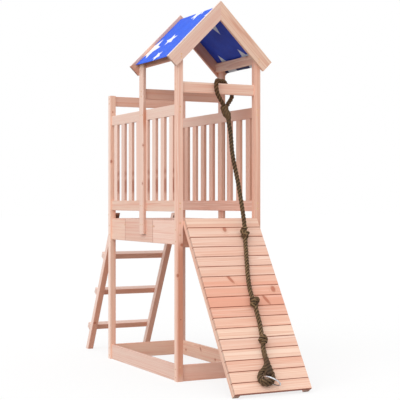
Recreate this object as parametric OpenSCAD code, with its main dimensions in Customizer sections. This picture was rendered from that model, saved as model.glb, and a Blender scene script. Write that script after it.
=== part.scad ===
// Wooden climbing frame: a play tower with a plank ramp, a ladder, a pitched sheet roof and a knotted rope.
// Millimetres. X is across the tower, the ramp runs down towards -Y, and Z is up from the ground.
// The origin is on the ground, at the middle of the frame's footprint.

/* [Timber] */
// Side of the square posts, ladder rails and rungs
post_w = 37; // [30:1:50]
// Thickness of the boards
board_t = 18; // [14:1:22]
// Width of the narrow boards: beams, rails, purlins, roof boards and ramp planks
board_w = 61; // [50:1:75]
// Chamfer along the long edges of the timber
ease = 1.5; // [0.5:0.5:3]

/* [Tower] */
// Width over the posts
tower_w = 525; // [460:5:620]
// Depth over the posts
tower_d = 1032; // [940:4:1160]
// Height of the rear posts above the rear beam
post_rise = 4; // [0:1:40]
// Height of the boards round the sandbox
base_h = 90; // [60:1:140]
// Height of the top of the floor above the ground
floor_top = 887; // [800:1:950]
// Height of the front apron below the floor
apron_h = 130; // [90:1:150]
// Height of the rear apron below the floor
rear_apron_h = 114; // [80:1:150]
// Height of the skirts along the sides
skirt_h = 133; // [100:1:160]
// Distance from the front of the tower to the first joint of the skirts
skirt_joint_1 = 354; // [250:2:420]
// Distance from the front of the tower to the second joint of the skirts
skirt_joint_2 = 772; // [620:2:820]
// Number of floor boards
floor_n = 5; // [3:1:8]
// Gap between the floor boards
floor_gap = 3; // [1:0.5:8]
// Gap between the lengths of a skirt
skirt_gap = 0.8; // [0.2:0.1:2]
// Gap between the top rails and the underside of the cross beams
beam_gap = 64; // [20:1:120]
// Height of the front posts above the front beam
front_rise = 169; // [120:1:260]

/* [Side panels] */
// Gap between the floor and the bottom rails
panel_gap = 50; // [20:1:80]
// Height over the rails
panel_h = 594; // [400:2:620]
// Number of slats on each side
slat_n = 8; // [4:1:9]
// Width of a slat
slat_w = 48; // [30:1:60]
// Gap between a post and the nearest slat
slat_end_gap = 42; // [20:1:70]

/* [Roof] */
// Slope of the roof in degrees
roof_slope = 45; // [42:1:48]
// Width of a rafter
rafter_w = 75; // [60:1:85]
// Distance that a rafter's upper edge reaches past the roof boards
eave = 55; // [46:1:90]
// Distance from the front of the tower to the rear edge of the roof boards
roof_board_y = 511; // [440:1:560]
// Distance from the top of the floor down to the feet of the roof boards
roof_board_drop = 85; // [62:1:120]
// Depth of the sheet below the upper edges of the rafters
sheet_drop = 17; // [10:1:25]
// Thickness of the sheet
sheet_t = 2; // [1:0.5:3]
// Distance from the right-hand edge of the sheet to the upper corner of a rafter's foot, across the tower
sheet_inset = 16; // [14:1:44]
// How much further in the left-hand edge of the sheet lies
sheet_short = 16; // [0:1:22]
// Height of the purlins beside the eaves
purlin_w = 54; // [48:1:61]

/* [Ladder] */
// Slope of the ladder in degrees
ladder_slope = 62.2; // [58:0.2:66]
// Distance that the tops of the rails reach in between the rear posts
ladder_bite = 19; // [14:1:30]
// Height of the rails above the floor
ladder_top = 33; // [10:1:60]
// Height of the middle of the first rung
rung_first = 149; // [120:1:200]
// Height from one rung to the next
rung_pitch = 242; // [180:1:250]

/* [Ramp] */
// Slope of the ramp in degrees
ramp_slope = 56.2; // [54:0.2:60]
// Height of the stringers' ends where they butt on the edge of the floor
ramp_seat = 14; // [8:1:17]
// Gap between the planks
plank_gap = 1.1; // [0.5:0.1:3]
// Depth of a stringer, square to the slope
stringer_d = 25; // [18:1:40]
// Width of a stringer
stringer_w = 36; // [24:1:60]

/* [Rope] */
// Thickness of the rope
rope_d = 25; // [18:0.5:26]
// Width of the splice below the loop
splice_d = 42; // [36:1:44]
// Thickness of a knot
knot_d = 50; // [36:1:52]
// Length of a knot
knot_l = 62; // [40:1:70]
// Width of the metal ring, to the middle of its wire
ring_d = 92; // [84:1:104]
// Thickness of the ring's wire
ring_wire = 7; // [4:0.5:8]

/* [Screws] */
// Thickness of a screw
screw_d = 5; // [4:0.5:6]
// Width of a screw's head
head_d = 10; // [8:0.5:12]
// Height of a screw's countersunk head
head_h = 3; // [2:0.5:4]
// Length of the screws that go through the posts
long_screw = 70; // [60:1:80]
// Wood left past the tip of a screw that goes through two pieces
screw_cover = 3; // [2:0.5:6]

/* [Hidden] */

$fn = 48;
// Overrun of every cut past the face that it opens
overrun = 2;
// Clearance all round a screw in its hole
screw_gap = 0.2;
// Clearance between pieces of the roof that lie close under the sheet
sheet_gap = 0.4;
// Clearance between the loop, the splice and the rope, where they turn on each other
turn_gap = 0.5;

// Colours
timber_color = [0.90, 0.70, 0.58];
sheet_color = [0.15, 0.25, 0.80];
rope_color = [0.33, 0.27, 0.19];
steel_color = [0.75, 0.76, 0.78];

// Faces and middle lines of the tower
recess = (post_w - board_t) / 2;
rail_h = floor_top + ladder_top;
ladder_foot = rail_h / tan(ladder_slope) - ladder_bite;
ramp_t = stringer_d + board_t;
ramp_foot = (floor_top - ramp_seat) / tan(ramp_slope) - recess;
ramp_reach = ramp_foot + ramp_t * sin(ramp_slope);
ladder_depth = post_w / sin(ladder_slope);
ladder_reach = ladder_foot + ladder_depth;
front_y = (ramp_reach - tower_d - ladder_reach) / 2;
rear_y = front_y + tower_d;
inner_x = tower_w / 2 - post_w;
post_x = tower_w / 2 - post_w / 2;
side_x = tower_w / 2 - recess - board_t;
face_x = side_x + board_t;
front_mid = front_y + post_w / 2;
rear_mid = rear_y - post_w / 2;
side_l = tower_d - 2 * post_w;
side_y = front_y + post_w;

// Heights
apron_z = floor_top - board_t - apron_h;
rear_apron_z = floor_top - board_t - rear_apron_h;
bearer_z = floor_top - board_t - post_w;
bottom_rail_z = floor_top + panel_gap;
top_rail_z = bottom_rail_z + panel_h - board_w;
beam_z = top_rail_z + board_w + beam_gap;
front_post_h = beam_z + board_w + front_rise;

// The roof: heights of the rafters' upper edges, and of the highest point under the sheet, at a distance x
sheet_depth = (sheet_drop + sheet_t) / cos(roof_slope) + sheet_gap;
ridge_h = front_post_h + tower_w / 2 * tan(roof_slope) + sheet_depth;
function rafter_top(x) = ridge_h - x * tan(roof_slope);
function under_sheet(x) = rafter_top(x) - sheet_depth;
rafter_reach = face_x + board_t + eave;
sheet_right = rafter_reach - sheet_inset;
sheet_left = sheet_right - sheet_short;
roof_y0 = front_y;
roof_y1 = front_y + roof_board_y;
roof_board_mid = roof_y1 - board_w / 2;
roof_board_x = face_x + board_t / 2;
purlin_z = under_sheet(face_x) - purlin_w;
roof_board_z = floor_top - roof_board_drop;
roof_board_h = under_sheet(face_x + board_t) - roof_board_z;

// The ramp and the ladder
plank_pitch = board_w + plank_gap;
stringer_l = (floor_top - stringer_d * cos(ramp_slope)) / sin(ramp_slope);
plank_n = round(stringer_l / plank_pitch);
ramp_l = plank_n * plank_pitch - plank_gap;
stringer_x = inner_x - stringer_w;
rung_l = 2 * inner_x;
rung_n = 3;

// Route of the loop round the front beam, from the splice up in front of the beam and down behind it
loop_route = [
    [29, -457, 1532], [14, -466, 1550], [-6, -471, 1576], [-19, -472, 1602], [-24, -471, 1632],
    [-22, -469, 1660], [-12, -460, 1671], [6, -450, 1669], [28, -441, 1670], [47, -429, 1669],
    [60, -422, 1657], [77, -421, 1640], [93, -421, 1621], [102, -421, 1600], [98, -422, 1580],
    [86, -428, 1564], [72, -435, 1549], [57, -443, 1532]
];
// Route of the rope from the splice down to the ramp, along the ramp and round the eye at its end
rope_route = [
    [56, -463, 1448], [63, -470, 1400], [65, -480, 1345], [64, -491, 1285], [68, -502, 1225], [76, -513, 1165],
    [84, -524, 1105], [90, -535, 1045], [95, -546, 985], [100, -557, 920], [102, -567, 868], [100, -577, 820],
    [95, -592, 776], [87, -612, 742], [73, -645, 694], [58, -680, 642], [44, -715, 590], [34, -749, 538],
    [28, -779, 500], [26, -816, 458], [28, -839, 413], [27, -862, 377], [23, -888, 338], [16, -911, 308],
    [8, -941, 273], [1, -960, 231], [-2, -980, 196], [3, -1001, 161], [8, -1022, 128], [10, -1040, 104],
    [3, -1057, 85], [-13, -1071, 71], [-37, -1077, 65], [-58, -1070, 67], [-71, -1056, 81], [-68, -1042, 101],
    [-54, -1032, 118], [-35, -1027, 133], [-18, -1021, 152]
];
// Middles of the knots and the directions of the rope through them
knot_places = [[100, -577, 820], [26, -816, 458], [8, -941, 273]];
knot_turns = [[-7, -25, -92], [0, -60, -87], [-13, -48, -77]];
// Point of the ring's wire next to the ramp, the way from there to its middle, and the line square to it
ring_seat = [-17, -1052, 67];
ring_way = [-0.17, -0.93, 0.33];
ring_turn = [0.555, 0.19, 0.81];
// Centres about which the splice and the rope turn
splice_pivot = [43, -450, 1517];
rope_pivot = rope_route[0];
// Lines that no stretch of the loop or of the rope runs along
loop_side = [-0.37, 0.93, 0];
ramp_out = [0, -sin(ramp_slope), cos(ramp_slope)];
// Sides of a rope's tube, and the turns at which its rounded end is cut into rings
rope_sides = 10;
dome_turns = [80, 50, 25];
// A knot's outline: shares of half its length, and of the way from the rope's side out to its own
knot_length_shares = [-1, -0.85, -0.4, 0.4, 0.85, 1];
knot_width_shares = [-0.1, 0.55, 1, 1, 0.55, -0.1];

// Where the screws sit: along a board's height as shares, and in from a joint
pair_shares = [0.25, 0.75];
other_shares = [0.4, 0.9];
truss_shares = [0.9, 1.15];
rail_screw_shares = [0.36, 0.3];
truss_depth_share = 0.8;
joint_inset = 10;
// Lengths of the screws through two boards, through a stringer and a plank, through a rung and its rail,
// and through a rear rafter
short_screw = 2 * board_t - screw_cover;
plank_screw = ramp_t - screw_cover;
rung_screw = 2 * post_w - screw_cover;
truss_screw = board_t + board_w * truss_depth_share;

// Screws as [place of the head, turn, length]: through the posts' sides into the ends of a cross board
function cross_screws(y, z, h, shares) =
    [for (side = [-1, 1], s = shares) [[side * tower_w / 2, y, z + h * s], [0, side * 90, 0], long_screw]];

// Through the posts' front and rear faces into the ends of a side board
function side_screws(z, h, shares) =
    [for (side = [-1, 1], end = [0, 1], s = shares)
        [[side * post_x, end == 0 ? front_y : rear_y, z + h * s], [end == 0 ? 90 : -90, 0, 0], long_screw]];

// Through the roof boards or the skirts, from outside
function face_screws(x, ys, zs, length) =
    [for (side = [-1, 1], y = ys, z = zs) [[side * x, y, z], [0, side * 90, 0], length]];

base_screw_list = concat(
    cross_screws(front_mid, 0, base_h, pair_shares),
    cross_screws(rear_mid, 0, base_h, pair_shares),
    side_screws(0, base_h, other_shares));
platform_screw_list = concat(
    cross_screws(front_mid, apron_z, apron_h, pair_shares),
    cross_screws(rear_mid, rear_apron_z, rear_apron_h, pair_shares),
    side_screws(floor_top - skirt_h, skirt_h, other_shares),
    face_screws(face_x, [for (j = [skirt_joint_1, skirt_joint_2], s = [-1, 1]) front_y + j + s * joint_inset],
        [bearer_z + post_w / 2], short_screw));
panel_screw_list = concat(
    side_screws(bottom_rail_z, board_w, pair_shares),
    side_screws(top_rail_z, board_w, pair_shares));
beam_screw_list = concat(
    cross_screws(front_mid, beam_z, board_w, pair_shares),
    cross_screws(rear_mid, beam_z, board_w, pair_shares),
    face_screws(face_x + board_t, [roof_board_mid],
        [for (s = pair_shares) beam_z + board_w * s], long_screw));
roof_board_screw_list = face_screws(face_x + board_t, [for (s = pair_shares) roof_y1 - board_w * s],
    [floor_top - board_w / 2, bottom_rail_z + board_w / 2, top_rail_z + board_w / 2], short_screw);
roof_screw_list = concat(
    [for (side = [-1, 1], s = truss_shares)
        let (z = rafter_top(post_x) - rafter_w * s)
        [[side * post_x, front_y - board_t, z], [90, 0, 0], long_screw]],
    [for (side = [-1, 1], s = truss_shares)
        let (z = rafter_top(roof_board_x) - rafter_w * s)
        [[side * roof_board_x, roof_y1 + board_t, z], [-90, 0, 0], truss_screw]]);
rail_screw_list = face_screws(tower_w / 2, [rear_y - ladder_bite * rail_screw_shares[0]],
    [rail_h - ladder_top * rail_screw_shares[1]], long_screw - board_t);
tower_screw_list = concat(base_screw_list, platform_screw_list, panel_screw_list, beam_screw_list,
    roof_board_screw_list, roof_screw_list, rail_screw_list);

// True where a screw can reach into a box
function reaches(s, low, size) =
    min([for (i = [0:2]) min(s[0][i] - low[i], low[i] + size[i] - s[0][i]) + s[2]]) > 0;

module screw(length) {
    translate([0, 0, -length]) cylinder(h = length - head_h, d = screw_d);
    translate([0, 0, -head_h]) cylinder(h = head_h, d1 = screw_d, d2 = head_d);
}

module screw_hole(length) {
    shank = screw_d + 2 * screw_gap;
    head = head_d + 2 * screw_gap;
    translate([0, 0, -length - screw_gap]) cylinder(h = length + screw_gap, d = shank);
    translate([0, 0, -head_h]) cylinder(h = head_h, d1 = shank, d2 = head);
    cylinder(h = overrun, d = head);
}

module screws(list) {
    color(steel_color) for (s = list) translate(s[0]) rotate(s[1]) screw(s[2]);
}

module screw_holes(list) {
    for (s = list) translate(s[0]) rotate(s[1]) screw_hole(s[2]);
}

// Section of a piece of timber with its long edges eased
function eased(a, b) = [
    [ease, 0], [a - ease, 0], [a, ease], [a, b - ease], [a - ease, b], [ease, b], [0, b - ease], [0, ease]
];

// Plain timber in a box, with its grain along X, Y or Z
module timber(low, size, grain) {
    if (grain == "x")
        translate(low) rotate([90, 0, 90]) linear_extrude(size.x) polygon(eased(size.y, size.z));
    if (grain == "y")
        translate(low + [0, size.y, 0]) rotate([90, 0, 0])
            linear_extrude(size.y) polygon(eased(size.x, size.z));
    if (grain == "z")
        translate(low) linear_extrude(size.z) polygon(eased(size.x, size.y));
}

// Timber drilled for the tower's screws
module drilled(low, size, grain) {
    color(timber_color) difference() {
        timber(low, size, grain);
        screw_holes([for (s = tower_screw_list) if (reaches(s, low, size)) s]);
    }
}

// The same piece on the left, side -1, or on the right, side 1, from its inner face
function on_side(side, x, w) = side > 0 ? x : -x - w;

module post(side, y, h) {
    drilled([on_side(side, inner_x, post_w), y, 0], [post_w, post_w, h], "z");
}

module front_left_post() { post(-1, front_y, front_post_h); }
module front_right_post() { post(1, front_y, front_post_h); }
module rear_left_post() { post(-1, rear_y - post_w, beam_z + board_w + post_rise); }
module rear_right_post() { post(1, rear_y - post_w, beam_z + board_w + post_rise); }

// A board between two posts, across the tower at its front or rear
module cross_board(mid, z, h) {
    drilled([-inner_x, mid - board_t / 2, z], [2 * inner_x, board_t, h], "x");
}

// A board between a front and a rear post
module side_board(side, z, h) {
    drilled([on_side(side, side_x, board_t), side_y, z], [board_t, side_l, h], "y");
}

module front_base_board() { cross_board(front_mid, 0, base_h); }
module rear_base_board() { cross_board(rear_mid, 0, base_h); }
module left_base_board() { side_board(-1, 0, base_h); }
module right_base_board() { side_board(1, 0, base_h); }
module front_apron() { cross_board(front_mid, apron_z, apron_h); }
module rear_apron() { cross_board(rear_mid, rear_apron_z, rear_apron_h); }
module front_beam() { cross_board(front_mid, beam_z, board_w); }
module rear_beam() { cross_board(rear_mid, beam_z, board_w); }
module left_bottom_rail() { side_board(-1, bottom_rail_z, board_w); }
module right_bottom_rail() { side_board(1, bottom_rail_z, board_w); }
module left_top_rail() { side_board(-1, top_rail_z, board_w); }
module right_top_rail() { side_board(1, top_rail_z, board_w); }

module middle_beam() {
    drilled([-face_x, roof_board_mid - board_t / 2, beam_z], [2 * face_x, board_t, board_w], "x");
}

// Three lengths of board, butted over the floor bearers
module skirt(side) {
    ends = [post_w, skirt_joint_1, skirt_joint_2, tower_d - post_w];
    for (i = [0:2])
        drilled([on_side(side, side_x, board_t), front_y + ends[i], floor_top - skirt_h],
            [board_t, ends[i + 1] - ends[i] - (i < 2 ? skirt_gap : 0), skirt_h], "y");
}

module left_skirt() { skirt(-1); }
module right_skirt() { skirt(1); }

module floor_bearers() {
    for (joint = [skirt_joint_1, skirt_joint_2])
        drilled([-side_x, front_y + joint - post_w / 2, bearer_z], [2 * side_x, post_w, post_w], "x");
}

module floor_boards() {
    w = (2 * inner_x - (floor_n - 1) * floor_gap) / floor_n;
    color(timber_color) for (i = [0:floor_n - 1])
        timber([-inner_x + i * (w + floor_gap), front_y + recess, floor_top - board_t],
            [w, tower_d - 2 * recess, board_t], "y");
}

module slats(side) {
    z = bottom_rail_z + board_w;
    pitch = (side_l - 2 * slat_end_gap - slat_w) / (slat_n - 1);
    color(timber_color) for (i = [0:slat_n - 1])
        timber([on_side(side, side_x, board_t), side_y + slat_end_gap + i * pitch, z],
            [board_t, slat_w, top_rail_z - z], "z");
}

module left_slats() { slats(-1); }
module right_slats() { slats(1); }

// Flat uprights outside the panels, which carry the rear truss
module roof_board(side) {
    drilled([on_side(side, face_x, board_t), roof_y1 - board_w, roof_board_z],
        [board_t, board_w, roof_board_h], "z");
}

module left_roof_board() { roof_board(-1); }
module right_roof_board() { roof_board(1); }

module purlin(side) {
    drilled([on_side(side, side_x, board_t), side_y, purlin_z],
        [board_t, roof_board_y - post_w, purlin_w], "y");
}

module left_purlin() { purlin(-1); }
module right_purlin() { purlin(1); }

module ridge_purlin() {
    drilled([-board_t / 2, roof_y0, under_sheet(board_t / 2) - board_w],
        [board_t, roof_board_y, board_w], "y");
}

// One rafter: a board mitred at the ridge and cut square at the foot
module rafter(side, y) {
    low = [on_side(side, 0, rafter_reach), y, 0];
    c = cos(roof_slope);
    s = sin(roof_slope);
    foot = [rafter_reach, rafter_top(rafter_reach)];
    outline = [
        [0, ridge_h], foot, foot - rafter_w * [s, c], [0, ridge_h - rafter_w / c]
    ];
    color(timber_color) difference() {
        translate([0, y + board_t, 0]) rotate([90, 0, 0]) linear_extrude(board_t)
            polygon([for (p = outline) [side * p.x, p.y]]);
        screw_holes([for (r = roof_screw_list) if (reaches(r, low, [rafter_reach, board_t, ridge_h])) r]);
    }
}

module front_left_rafter() { rafter(-1, roof_y0 - board_t); }
module front_right_rafter() { rafter(1, roof_y0 - board_t); }
module rear_left_rafter() { rafter(-1, roof_y1); }
module rear_right_rafter() { rafter(1, roof_y1); }

// The fabric sheet: one bent strip between the trusses
module roof_sheet() {
    drop = sheet_drop / cos(roof_slope);
    thick = sheet_t / cos(roof_slope);
    upper = [for (x = [-sheet_left, 0, sheet_right]) [x, rafter_top(abs(x)) - drop]];
    lower = [for (x = [sheet_right, 0, -sheet_left]) [x, rafter_top(abs(x)) - drop - thick]];
    color(sheet_color) translate([0, roof_y1 - sheet_gap, 0]) rotate([90, 0, 0])
        linear_extrude(roof_board_y - 2 * sheet_gap) polygon(concat(upper, lower));
}

// The ladder's own frame: X across, Y up the slope and Z out from the front of the rails
module on_ladder() {
    translate([0, rear_y + ladder_foot, 0]) rotate([180 - ladder_slope, 0, 0]) mirror([0, 0, 1]) children();
}

function rung_along(i) = (rung_first + i * rung_pitch - post_w * cos(ladder_slope)) / sin(ladder_slope);

rung_screw_list = [for (i = [0:rung_n - 1], side = [-1, 1])
    [[side * (inner_x - post_w / 2), rung_along(i), 2 * post_w], [0, 0, 0], rung_screw]];

module ladder_rail(side) {
    low = [on_side(side, inner_x - post_w, post_w), -rail_h, 0];
    room = 2 * (rail_h + ladder_reach);
    color(timber_color) difference() {
        on_ladder() timber(low, [post_w, 3 * rail_h, post_w], "y");
        translate([-room / 2, 0, rail_h]) cube([room, room, room]);
        translate([-room / 2, 0, -room]) cube([room, room, room]);
        on_ladder() screw_holes(rung_screw_list);
        screw_holes(rail_screw_list);
    }
}

module left_ladder_rail() { ladder_rail(-1); }
module right_ladder_rail() { ladder_rail(1); }

module rung(i) {
    color(timber_color) difference() {
        on_ladder() timber([-inner_x, rung_along(i) - post_w / 2, post_w], [rung_l, post_w, post_w], "x");
        on_ladder() screw_holes(rung_screw_list);
    }
}

module lower_rung() { rung(0); }
module middle_rung() { rung(1); }
module upper_rung() { rung(rung_n - 1); }

// The ramp's own frame: X across, Y up the slope and Z out from the underside of the stringers
module on_ramp() {
    translate([0, front_y - ramp_foot, 0]) rotate([ramp_slope, 0, 0]) children();
}

// From below, so that no heads show on the planks
ramp_screw_list = [for (i = [0:plank_n - 1], side = [-1, 1])
    [[side * (inner_x - stringer_w / 2), i * plank_pitch + board_w / 2, 0], [180, 0, 0], plank_screw]];

// Stringers end plumb against the edge of the floor, level with its top
module stringer(side) {
    room = 2 * ramp_l;
    color(timber_color) difference() {
        on_ramp() timber([on_side(side, stringer_x, stringer_w), 0, 0], [stringer_w, room, stringer_d], "y");
        translate([-room / 2, front_y + recess, 0]) cube([room, room, room]);
        translate([-room / 2, front_y - ramp_reach, floor_top]) cube([room, room, room]);
        on_ramp() screw_holes(ramp_screw_list);
    }
}

module left_stringer() { stringer(-1); }
module right_stringer() { stringer(1); }

module ramp_planks() {
    color(timber_color) on_ramp() difference() {
        for (i = [0:plank_n - 1])
            timber([-inner_x, i * plank_pitch, stringer_d], [2 * inner_x, board_w, board_t], "x");
        screw_holes(ramp_screw_list);
    }
}

// Unit vector, and a ring of points of radius r square to the direction t
function unit(v) = v / norm(v);
function ring(p, t, r, side) =
    let (u = unit(cross(t, side)), w = cross(unit(t), u))
    [for (i = [0:rope_sides - 1]) p + r * (cos(360 * i / rope_sides) * u + sin(360 * i / rope_sides) * w)];

// Direction of a route at its point i
function along(route, i) = unit(route[min(i + 1, len(route) - 1)] - route[max(i - 1, 0)]);

// One closed tube of triangles through rings of points
module tube(rings) {
    n = len(rings) - 1;
    m = rope_sides;
    sides = [for (k = [0:n - 1], i = [0:m - 1]) let (a = k * m + i, b = k * m + (i + 1) % m)
        each [[a, a + m, b], [b, a + m, b + m]]];
    first = [for (i = [1:m - 2]) [0, i, i + 1]];
    last = [for (i = [1:m - 2]) [n * m, n * m + i + 1, n * m + i]];
    polyhedron([for (r = rings) each r], concat(sides, first, last));
}

module rope_loop() {
    color(rope_color) tube([for (i = [0:len(loop_route) - 1])
        ring(loop_route[i], along(loop_route, i), rope_d / 2, loop_side)]);
}

// The rope has a rounded upper end, centred on the point about which it turns
module climbing_rope() {
    r = rope_d / 2;
    t = along(rope_route, 0);
    dome = [for (a = dome_turns) ring(rope_pivot - t * r * sin(a), t, r * cos(a), ramp_out)];
    body = [for (i = [0:len(rope_route) - 1]) ring(rope_route[i], along(rope_route, i), r, ramp_out)];
    color(rope_color) tube(concat(dome, body));
}

// Places children so that their Z axis points along v
module aim(place, v) {
    translate(place) rotate([0, acos(unit(v).z), atan2(v.y, v.x)]) children();
}

// The thick splice: round above, where the loop's ends sit on it, and tapering to the rope
module rope_splice() {
    reach = norm(rope_pivot - splice_pivot) - rope_d / 2 - turn_gap;
    color(rope_color) aim(splice_pivot, rope_pivot - splice_pivot) {
        sphere(d = splice_d);
        cylinder(h = reach, d1 = splice_d, d2 = rope_d);
    }
}

module knot(i) {
    outline = [for (k = [0:len(knot_length_shares) - 1])
        [rope_d / 2 + (knot_d - rope_d) / 2 * knot_width_shares[k], knot_l / 2 * knot_length_shares[k]]];
    color(rope_color) aim(knot_places[i], knot_turns[i]) rotate_extrude()
        polygon(concat([[0, -knot_l / 2]], outline, [[0, knot_l / 2]]));
}

module upper_knot() { knot(0); }
module middle_knot() { knot(1); }
module lower_knot() { knot(2); }

module end_ring() {
    color(steel_color) aim(ring_seat + unit(ring_way) * ring_d / 2, ring_turn)
        rotate_extrude() translate([ring_d / 2, 0]) circle(d = ring_wire);
}

module base_screws() { screws(base_screw_list); }
module platform_screws() { screws(platform_screw_list); }
module panel_screws() { screws(panel_screw_list); }
module beam_screws() { screws(beam_screw_list); }
module roof_screws() { screws(roof_screw_list); }
module roof_board_screws() { screws(roof_board_screw_list); }
module ladder_screws() {
    screws(rail_screw_list);
    on_ladder() screws(rung_screw_list);
}
module ramp_screws() { on_ramp() screws(ramp_screw_list); }

front_left_post();
front_right_post();
rear_left_post();
rear_right_post();
front_base_board();
rear_base_board();
left_base_board();
right_base_board();
front_apron();
rear_apron();
left_skirt();
right_skirt();
floor_bearers();
floor_boards();
left_bottom_rail();
right_bottom_rail();
left_top_rail();
right_top_rail();
left_slats();
right_slats();
front_beam();
middle_beam();
rear_beam();
left_roof_board();
right_roof_board();
left_purlin();
right_purlin();
ridge_purlin();
front_left_rafter();
front_right_rafter();
rear_left_rafter();
rear_right_rafter();
roof_sheet();
left_ladder_rail();
right_ladder_rail();
lower_rung();
middle_rung();
upper_rung();
left_stringer();
right_stringer();
ramp_planks();
rope_loop();
rope_splice();
climbing_rope();
upper_knot();
middle_knot();
lower_knot();
end_ring();
base_screws();
platform_screws();
panel_screws();
beam_screws();
roof_screws();
roof_board_screws();
ladder_screws();
ramp_screws();
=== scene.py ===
import math
import random

import bmesh
import bpy
from mathutils import Matrix, Vector, kdtree, noise
from mathutils.geometry import interpolate_bezier


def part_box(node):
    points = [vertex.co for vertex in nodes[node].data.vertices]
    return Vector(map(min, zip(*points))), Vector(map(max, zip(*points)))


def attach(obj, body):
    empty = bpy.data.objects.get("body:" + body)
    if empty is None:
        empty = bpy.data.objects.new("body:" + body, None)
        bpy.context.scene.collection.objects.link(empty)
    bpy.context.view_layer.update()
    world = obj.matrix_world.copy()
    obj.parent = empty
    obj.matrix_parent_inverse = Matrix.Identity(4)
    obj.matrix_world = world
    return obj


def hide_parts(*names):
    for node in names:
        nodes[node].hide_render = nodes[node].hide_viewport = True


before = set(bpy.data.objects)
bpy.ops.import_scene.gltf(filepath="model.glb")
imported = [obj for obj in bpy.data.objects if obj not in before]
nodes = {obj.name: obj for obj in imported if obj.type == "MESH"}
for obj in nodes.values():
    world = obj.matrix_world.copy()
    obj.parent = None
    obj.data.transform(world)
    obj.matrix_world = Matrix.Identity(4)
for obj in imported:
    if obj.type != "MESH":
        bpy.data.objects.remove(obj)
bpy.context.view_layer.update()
scene = bpy.context.scene
scene.view_settings.view_transform = "Standard"
axisX, axisY, axisZ = Vector((1, 0, 0)), Vector((0, 1, 0)), Vector((0, 0, 1))
print("frame:", len(nodes), "nodes")

# Camera, level and at the photograph's height, in metres
camera = {
    "place": (-2.8048, -5.9138, 0.9948),
    "yaw": 26.577,               # degrees from +Y towards +X
    "lens": 98.47,
    "sensor": 36.0,
    "shift": (-0.0175, 0.0029),
    "farthest": 100.0,
}


def setCamera():
    data = bpy.data.cameras.new("camera")
    data.lens = camera["lens"]
    data.sensor_width = camera["sensor"]
    data.shift_x, data.shift_y = camera["shift"]
    data.clip_end = camera["farthest"]
    obj = bpy.data.objects.new("camera", data)
    obj.location = camera["place"]
    obj.rotation_euler = (math.radians(90.0), 0.0, -math.radians(camera["yaw"]))
    scene.collection.objects.link(obj)
    scene.camera = obj


setCamera()
print("camera set")


# Shader values: arithmetic on a Wire adds Math nodes, and add makes any other node
class Wire:
    def __init__(self, tree, socket=None):
        self.tree = tree
        self.socket = socket

    def add(self, kind, settings=None, sockets=None, out=0):
        node = self.tree.nodes.new("ShaderNode" + kind)
        for key, value in (settings or {}).items():
            if key == "stops":
                self.setStops(node.color_ramp, value)
            elif key == "interpolation":
                node.color_ramp.interpolation = value
            else:
                setattr(node, key, value)
        for key, value in (sockets or {}).items():
            if isinstance(value, Wire):
                self.tree.links.new(value.socket, node.inputs[key])
            else:
                node.inputs[key].default_value = value
        return Wire(self.tree, node.outputs[out] if node.outputs else None)

    @staticmethod
    def setStops(ramp, stops):
        while len(ramp.elements) < len(stops):
            ramp.elements.new(1.0)
        for element, (place, colour) in zip(ramp.elements, stops):
            element.position = place
            element.color = colour

    def math(self, operation, first, second=0.0):
        return self.add("Math", {"operation": operation}, {0: first, 1: second})

    def __add__(self, other):
        return self.math("ADD", self, other)

    def __sub__(self, other):
        return self.math("SUBTRACT", self, other)

    def __rsub__(self, other):
        return self.math("SUBTRACT", other, self)

    def __mul__(self, other):
        return self.math("MULTIPLY", self, other)

    def __truediv__(self, other):
        return self.math("DIVIDE", self, other)

    def __rtruediv__(self, other):
        return self.math("DIVIDE", other, self)

    def __mod__(self, other):
        return self.math("FLOORED_MODULO", self, other)

    def __gt__(self, other):
        return self.math("GREATER_THAN", self, other)

    __radd__ = __add__
    __rmul__ = __mul__

    def __neg__(self):
        return self.math("MULTIPLY", self, -1.0)

    def each(self, operation):
        return self.math(operation, self)

    def most(self, other):
        return self.math("MAXIMUM", self, other)

    def step(self, low, high):  # smooth step from 0 at low to 1 at high
        settings = {"interpolation_type": "SMOOTHSTEP"}
        return self.add("MapRange", settings, {"Value": self, "From Min": low, "From Max": high})

    def mix(self, first, second):  # two colours, with this value as the factor
        return self.add("Mix", {"data_type": "RGBA"}, {0: self, 6: first, 7: second}, out=2)

    def dot(self, direction):
        settings = {"operation": "DOT_PRODUCT"}
        return self.add("VectorMath", settings, {0: self, 1: direction}, out="Value")

    def scaled(self, scale):
        return self.add("VectorMath", {"operation": "SCALE"}, {0: self, "Scale": scale})

    def split(self, count=3):  # the parts of a vector or a colour
        return [self.add("SeparateXYZ", {}, {0: self}, out=i) for i in range(count)]

    def noise(self, detail=2.0, rough=0.5):  # noise of a vector that is already scaled
        sockets = {"Vector": self, "Scale": 1.0, "Detail": detail, "Roughness": rough}
        return self.add("TexNoise", {}, sockets)

    def vector(self, x, y, z=0.0):
        return self.add("CombineXYZ", {}, {0: x, 1: y, 2: z})


def tone(red, green, blue):  # a colour as a screen shows it, 0 to 255
    shares = [c / 255 for c in (red, green, blue)]
    linear = [((c + 0.055) / 1.055) ** 2.4 if c > 0.04045 else c / 12.92 for c in shares]
    return (*linear, 1.0)


def newMaterial(name, **fixed):  # fixed: constant values of the shader's own sockets
    mat = bpy.data.materials.new(name)
    mat.use_nodes = True
    shader = mat.node_tree.nodes["Principled BSDF"]
    for key, value in fixed.items():
        shader.inputs[key.replace("_", " ")].default_value = value
    return mat, Wire(mat.node_tree), shader


def feed(wire, shader, **values):
    for key, value in values.items():
        wire.tree.links.new(value.socket, shader.inputs[key.replace("_", " ")])


def bump(wire, height, strength, distance):
    return wire.add("Bump", {}, {"Height": height, "Strength": strength, "Distance": distance})


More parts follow.
